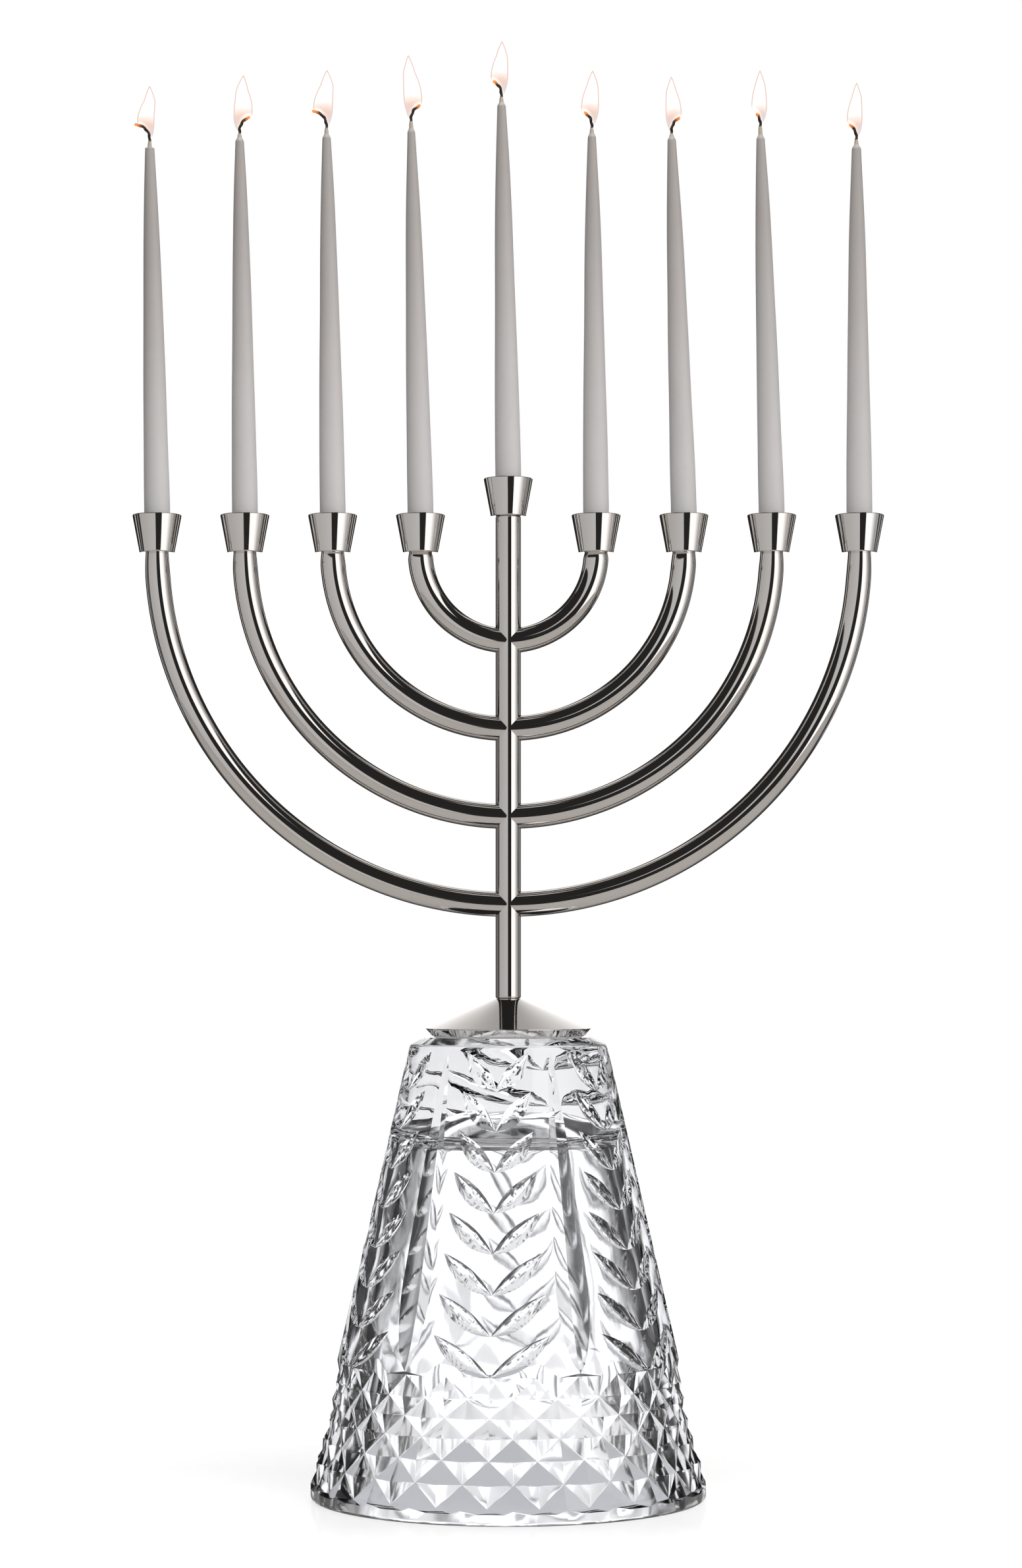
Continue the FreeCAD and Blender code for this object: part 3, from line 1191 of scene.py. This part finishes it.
for name in rowNames:
    makeCandle(name)
    makeWick(name)
    makeFlame(name)
print("candles, wicks and flames made")


# hidden hardware keeps its own shape and gets its finish

for node, materialName in (("bond_disc", "bond"), ("stem_screw", "steel"), ("stem_washer", "steel"),
                           ("cup_screws", "steel")):
    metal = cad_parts[node]
    metal.data.materials.clear()
    metal.data.materials.append(materials[materialName])


# the studio: what the polished metal and the crystal see, by direction

studioLook = {
    "room": 0.022,
    "leftNear": 0.56,
    "leftFar": 0.47,
    "rightNear": 1.38,
    "rightFar": 0.40,
    "edges": [(-128.0, -118.0, 0.5), (-106.0, -98.0, 0.2), (94.0, 98.0, 0.7), (107.0, 122.0, 0.25),
              (134.0, 141.0, 0.7)],           # thin bright lines beside the panels: from, to, strength
    "backdrop": 1.12,
    "overhead": 1.0,
    "tint": colour(1.0, 0.983, 0.974),
    "seen": colour(1.0, 1.0, 1.0),
    "throughTint": colour(0.955, 0.962, 1.0),
    "throughBase": 0.55,
    "throughBehind": 1.36,
    "throughBelow": 0.86,
    "throughAbove": 0.05,
    "throughDark": 0.03,
}


def makeStudio():
    look = studioLook
    world = bpy.data.worlds.new("paleStudio")
    world.use_nodes = True
    bpy.context.scene.world = world
    kit = TreeKit(world.node_tree)
    aim = kit.node("ShaderNodeTexCoord", out="Generated")
    right = kit.node("ShaderNodeSeparateXYZ", None, {0: aim}, "X")
    back = kit.another(right, "Y")
    up = kit.another(right, "Z")
    # 0 is the camera's side, and the right is positive
    azimuth = right.math("ARCTAN2", -back) * (180 / math.pi)
    height = up.math("ARCSINE") * (180 / math.pi)
    behind = azimuth.math("ABSOLUTE")

    def band(wire, low, high, soft=0.6):
        return wire.smooth(low - soft, low + soft) * wire.smooth(high - soft, high + soft, 1.0, 0.0)

    panelHeight = band(height, -24.0, 18.0, 0.7)
    leftGlow = azimuth.smooth(-86.0, 0.0, look["leftFar"], look["leftNear"])
    left = band(azimuth, -87.0, -3.0) * panelHeight * leftGlow
    rightGlow = azimuth.smooth(50.0, 88.0, look["rightNear"], look["rightFar"])
    rightGlow = rightGlow * azimuth.smooth(26.0, 36.0, 0.8, 1.0)
    rightSide = band(azimuth, 28.0, 93.0) * band(height, -24.0, 36.0, 2.0) * rightGlow
    edges = band(azimuth, *look["edges"][0][:2], 1.0) * look["edges"][0][2]
    for low, high, strength in look["edges"][1:]:
        edges = edges + band(azimuth, low, high, 1.0) * strength
    edges = edges * panelHeight
    rise = kit.node("ShaderNodeValToRGB", {"stops": [
        (0.0, colour(1.0, 1.0, 1.0)), (0.42, colour(1.0, 1.0, 1.0)), (0.51, colour(0.90, 0.90, 0.90)),
        (0.62, colour(0.74, 0.74, 0.74)), (0.70, colour(0.62, 0.62, 0.62)),
        (0.81, colour(0.39, 0.39, 0.39)), (1.0, colour(0.15, 0.15, 0.15)),
    ]}, {"Fac": (height + 20.0) / 80.0})
    riseValue = kit.node("ShaderNodeSeparateColor", None, {0: rise}, 0)
    backdrop = behind.smooth(163.0, 169.0) * height.smooth(-21.0, -19.0)
    backdrop = backdrop * height.smooth(58.0, 64.0, 1.0, 0.0) * riseValue * look["backdrop"]
    frontStrip = band(height, 72.0, 80.0, 1.0) * behind.smooth(30.0, 50.0, 0.5, 0.0)
    backStrip = band(height, 50.0, 60.0, 1.0) * behind.smooth(120.0, 140.0)
    ground = height.smooth(-26.0, -24.0, 1.0, 0.0) * height.smooth(-70.0, -24.0, 0.34, 0.52)
    total = left + edges + rightSide + backdrop + (frontStrip + backStrip) * look["overhead"] + ground
    unlit = height.smooth(-26.0, -24.0) * look["room"]
    light = kit.node("ShaderNodeBackground", None, {"Color": look["tint"], "Strength": total + unlit})

    # the crystal looks through to a brighter table and backdrop between dark wings
    below = height.smooth(-24.0, -12.0, 1.0, 0.0)
    above = height.smooth(20.0, 34.0)
    wide = behind.smooth(152.0, 164.0)
    level = wide * (look["throughBehind"] - look["throughBase"]) + look["throughBase"]
    wings = band(behind, 120.0, 156.0, 5.0) * height.smooth(-35.0, -20.0)
    level = level * (1 - wings) + wings * look["throughDark"]
    level = level * (1 - below) + below * look["throughBelow"]
    level = level * (1 - above) + above * look["throughAbove"]
    through = kit.node("ShaderNodeBackground", None, {"Color": look["throughTint"], "Strength": level})
    glass = kit.node("ShaderNodeLightPath", out="Is Transmission Ray")
    light = kit.mixed(glass, light, through)
    seen = kit.node("ShaderNodeBackground", None, {"Color": look["seen"], "Strength": 1.0})
    camera = kit.node("ShaderNodeLightPath", out="Is Camera Ray")
    both = kit.mixed(camera, light, seen)
    kit.node("ShaderNodeOutputWorld", None, {"Surface": both})


floorLook = {
    "radius": 1.02,
    "pale": colour(0.90, 0.90, 0.90),
    "paleDeep": colour(0.88, 0.88, 0.88),
    # what the metal sees of the table is painted shade: a darker table, darker still towards the back,
    # while the camera sees it pale
    "paintedShadeInMetal": colour(0.40, 0.385, 0.37),
    "paintedShadeInMetalBehind": colour(0.05, 0.048, 0.046),
    "behind": (0.03, 0.26),           # metres towards the back, where the metal sees the table darken
    # what the crystal sees of the table is painted shade: a painted shadow under the crystal and a paler
    # painted shade beyond it
    "paintedShadowUnderCrystal": colour(0.55, 0.56, 0.59),
    "paintedShadeBeyondCrystal": colour(0.80, 0.805, 0.83),
    "gloss": 0.10,
    "glossRoughness": 0.09,
    "glossEnd": (0.078, 0.150),       # metres from the middle, where the mirror image fades
    "fade": (0.09, 0.24),
}


def makeFloor():
    look = floorLook
    material, kit = newMaterial("paleTable")
    place = kit.node("ShaderNodeTexCoord", out="Object")
    away = kit.node("ShaderNodeVectorMath", {"operation": "LENGTH"}, {0: place}, "Value")
    grain = kit.noise(60.0, 2.0)
    cloth = kit.blend(grain, look["pale"], look["paleDeep"])
    matt = kit.node("ShaderNodeBsdfDiffuse", None, {"Color": cloth})
    mirror = kit.node("ShaderNodeBsdfGlossy", None, {"Roughness": look["glossRoughness"]})
    gloss = away.smooth(*look["glossEnd"], look["gloss"], 0.0)
    pale = kit.mixed(gloss, matt, mirror)
    clear = kit.node("ShaderNodeBsdfTransparent")
    faded = kit.mixed(away.smooth(*look["fade"]), pale, clear)
    depth = kit.node("ShaderNodeSeparateXYZ", None, {0: place}, "Y")
    # painted shade of the table, seen only in the metal, darker towards the back
    paintedShadeInMetal = kit.blend(depth.smooth(*look["behind"]), look["paintedShadeInMetal"], look["paintedShadeInMetalBehind"])
    paintedShadeForMetal = kit.node("ShaderNodeBsdfDiffuse", None, {"Color": paintedShadeInMetal})
    glossy = kit.node("ShaderNodeLightPath", out="Is Glossy Ray")
    through = kit.another(glossy, "Is Transmission Ray")
    # painted shadow and shade of the table, seen only through the crystal
    veil = kit.blend(away.smooth(0.060, 0.080), look["paintedShadowUnderCrystal"], look["paintedShadeBeyondCrystal"])
    paintedShadeThroughCrystal = kit.node("ShaderNodeBsdfDiffuse", None, {"Color": veil})
    both = kit.mixed(glossy * (1 - through), kit.mixed(through, faded, paintedShadeThroughCrystal), paintedShadeForMetal)
    finishMaterial(material, kit, both)
    work = bmesh.new()
    bmesh.ops.create_circle(work, cap_ends=True, radius=look["radius"], segments=128)
    mesh = bpy.data.meshes.new("table")
    work.to_mesh(mesh)
    work.free()
    mesh.materials.append(material)
    floor = bpy.data.objects.new("table", mesh)
    floor.location.z = cadBox[0].z - 0.0002
    bpy.context.scene.collection.objects.link(floor)


lightSet = {                        # place, aim, size in metres, watts, tint
    "above": ((0.0, -0.2, 1.9), (0.0, 0.0, 0.1), 1.6, 39.0, (1.0, 1.0, 1.0)),
    "front": ((0.9, -1.5, 0.8), (0.05, 0.0, 0.3), 1.2, 8.0, (1.0, 0.99, 0.98)),
    "behind": ((-0.3, 1.8, 0.7), (0.0, 0.0, 0.33), 1.2, 7.0, (1.0, 1.0, 1.0)),
}


def makeLights():
    for name, (place, aim, size, power, tint) in lightSet.items():
        data = bpy.data.lights.new(name, "AREA")
        data.shape = "DISK"
        data.size = size
        data.energy = power
        data.color = tint
        lamp = bpy.data.objects.new(name, data)
        lamp.location = place
        lamp.rotation_mode = "QUATERNION"
        lamp.rotation_quaternion = (Vector(aim) - Vector(place)).to_track_quat("-Z", "Y")
        lamp.visible_camera = False
        lamp.visible_glossy = False
        lamp.visible_transmission = False
        bpy.context.scene.collection.objects.link(lamp)


cameraSet = {"place": (0.001, -1.33, 0.195), "lens": 83.8, "shift": 0.1134}


def makeCamera():
    data = bpy.data.cameras.new("view")
    data.lens = cameraSet["lens"]
    data.sensor_width = 36.0
    data.shift_y = cameraSet["shift"]
    data.clip_start = 0.05
    data.clip_end = 20.0
    camera = bpy.data.objects.new("view", data)
    camera.location = cameraSet["place"]
    camera.rotation_euler = (math.pi / 2, 0.0, 0.0)
    bpy.context.scene.collection.objects.link(camera)
    bpy.context.scene.camera = camera


makeStudio()
makeFloor()
makeLights()
makeCamera()
bpy.context.scene.view_settings.view_transform = "Standard"
print("studio, floor, lights and camera made")
